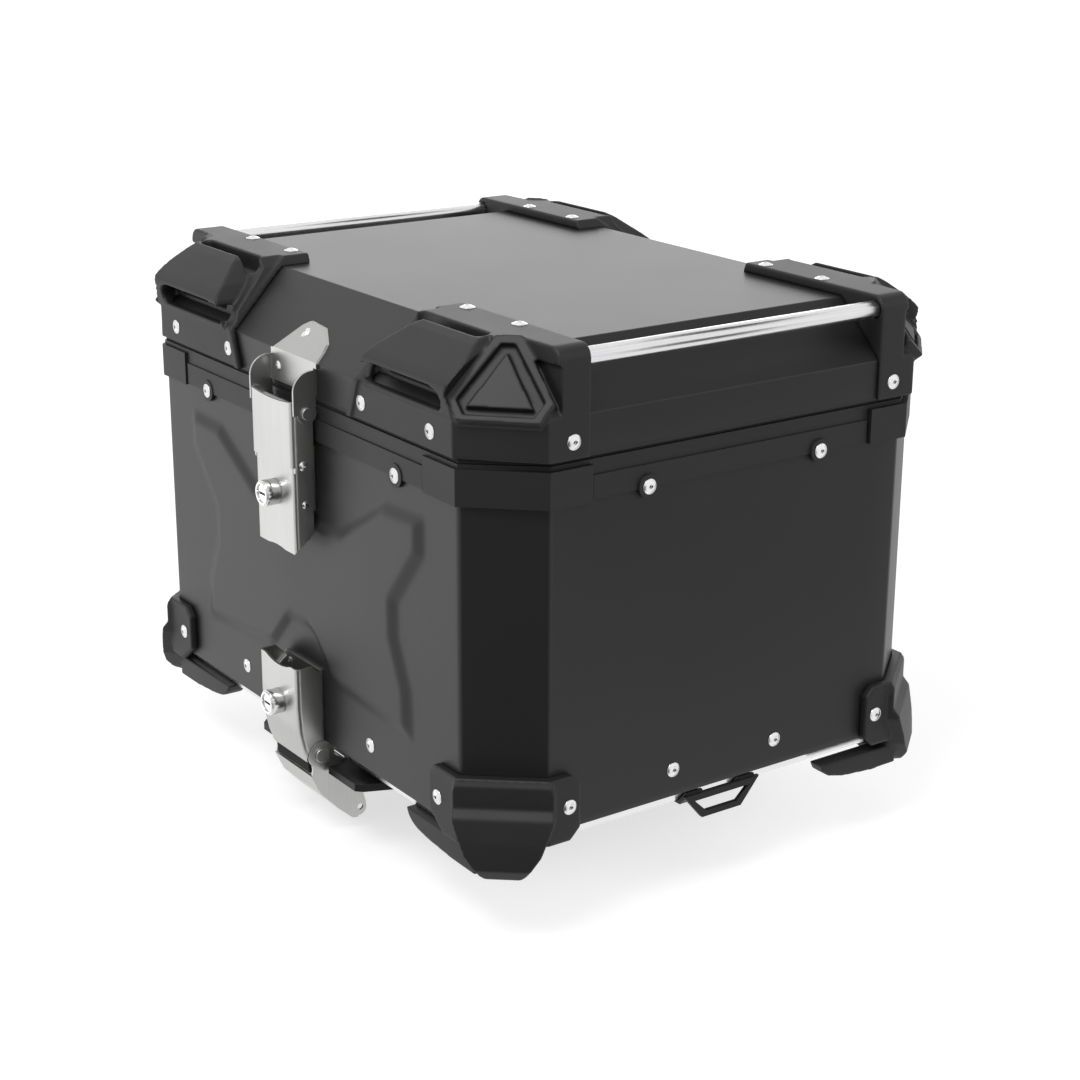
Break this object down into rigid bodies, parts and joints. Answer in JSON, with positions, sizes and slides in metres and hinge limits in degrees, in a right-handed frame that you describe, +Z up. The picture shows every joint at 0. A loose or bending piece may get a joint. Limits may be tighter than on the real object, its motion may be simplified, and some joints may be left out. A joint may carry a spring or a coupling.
{
  "type": "motorcycle top case",
  "caption": "Hard black aluminium top case with hinged lid, plastic corner guards, side rails, lockable steel latch and quick-release base plate.",
  "frame": {"origin": "middle of the base plate's bolt pattern, on its underside", "axes": "+Z up out of the lid, -Y toward the latch side, +Y toward the hinge side, X across, along the longest side"},
  "size_m": [0.4402, 0.3712, 0.3401],
  "materials": {
    "body_black": "satin black powder coat on folded aluminium",
    "plastic_black": "fine-grained black moulding",
    "rubber_black": "matt black rubber",
    "stainless": "brushed stainless sheet",
    "rail_metal": "satin anodised tube",
    "rivet_metal": "bright dome heads",
    "plate_black": "black coated steel",
    "lock_metal": "satin chrome"
  },
  "bodies": {
    "base": {"base_plate": "plate_black", "base_pads": "rubber_black"},
    "case": {"tub_shell": "body_black", "tub_floor": "rail_metal", "dock_rails": "rail_metal", "floor_mat": "rubber_black", "rim_frame": "plastic_black", "rim_seal": "rubber_black", "rim_rivets": "rivet_metal", "foot_guard_front_left": "plastic_black", "foot_guard_front_right": "plastic_black", "foot_guard_rear_left": "plastic_black", "foot_guard_rear_right": "plastic_black", "foot_rivets": "rivet_metal", "wall_rivets": "rivet_metal", "tie_loops": "plate_black", "hinge_tub_leaf": "plate_black", "hinge_pin": "stainless", "hinge_tub_rivets": "rivet_metal", "latch_keeper": "stainless", "keeper_rivets": "rivet_metal", "release_bracket": "stainless", "release_cover": "stainless", "release_rivets": "rivet_metal", "release_pin": "stainless", "release_lock_body": "lock_metal", "release_spring": "stainless", "release_buffer": "rubber_black"},
    "release_plug": {"release_lock_plug": "lock_metal"},
    "release_lever": {"release_lever": "stainless", "release_roller": "stainless"},
    "lid": {"lid_shell": "body_black", "lid_frame": "plastic_black", "lid_guard_front_left": "plastic_black", "lid_guard_front_right": "plastic_black", "lid_guard_rear_left": "plastic_black", "lid_guard_rear_right": "plastic_black", "lid_rails": "rail_metal", "lid_guard_rivets": "rivet_metal", "hinge_lid_leaf": "plate_black", "hinge_lid_rivets": "rivet_metal", "latch_bracket": "stainless", "bracket_rivets": "rivet_metal", "hasp_pin": "stainless"},
    "hasp": {"hasp_outer": "stainless", "hasp_inner": "stainless", "hasp_rivets": "rivet_metal", "latch_lock_body": "lock_metal"},
    "latch_plug": {"latch_lock_plug": "lock_metal"}
  },
  "joints": [
    {"name": "case_lift", "type": "slide", "parent": "base", "child": "case", "axis": [0, 0, 1], "range_m": [0, 0.06]},
    {"name": "lid_hinge", "type": "hinge", "parent": "case", "child": "lid", "pos_m": [0, 0.1732, 0.2412], "axis": [-1, 0, 0], "range_deg": [0, 95]},
    {"name": "hasp_swing", "type": "hinge", "parent": "lid", "child": "hasp", "pos_m": [0, -0.1741, 0.2367], "axis": [-1, 0, 0], "range_deg": [0, 70]},
    {"name": "latch_lock_turn", "type": "hinge", "parent": "hasp", "child": "latch_plug", "pos_m": [0, -0.184, 0.184], "axis": [0, -1, 0], "range_deg": [0, 90]},
    {"name": "release_swing", "type": "hinge", "parent": "case", "child": "release_lever", "pos_m": [0, -0.1692, 0.0166], "axis": [-1, 0, 0], "range_deg": [0, 25], "stiffness_Nm_per_rad": 0.5, "springref_deg": -17.19},
    {"name": "release_lock_turn", "type": "hinge", "parent": "case", "child": "release_plug", "pos_m": [0, -0.185, 0.049], "axis": [0, -1, 0], "range_deg": [0, 90]}
  ]
}
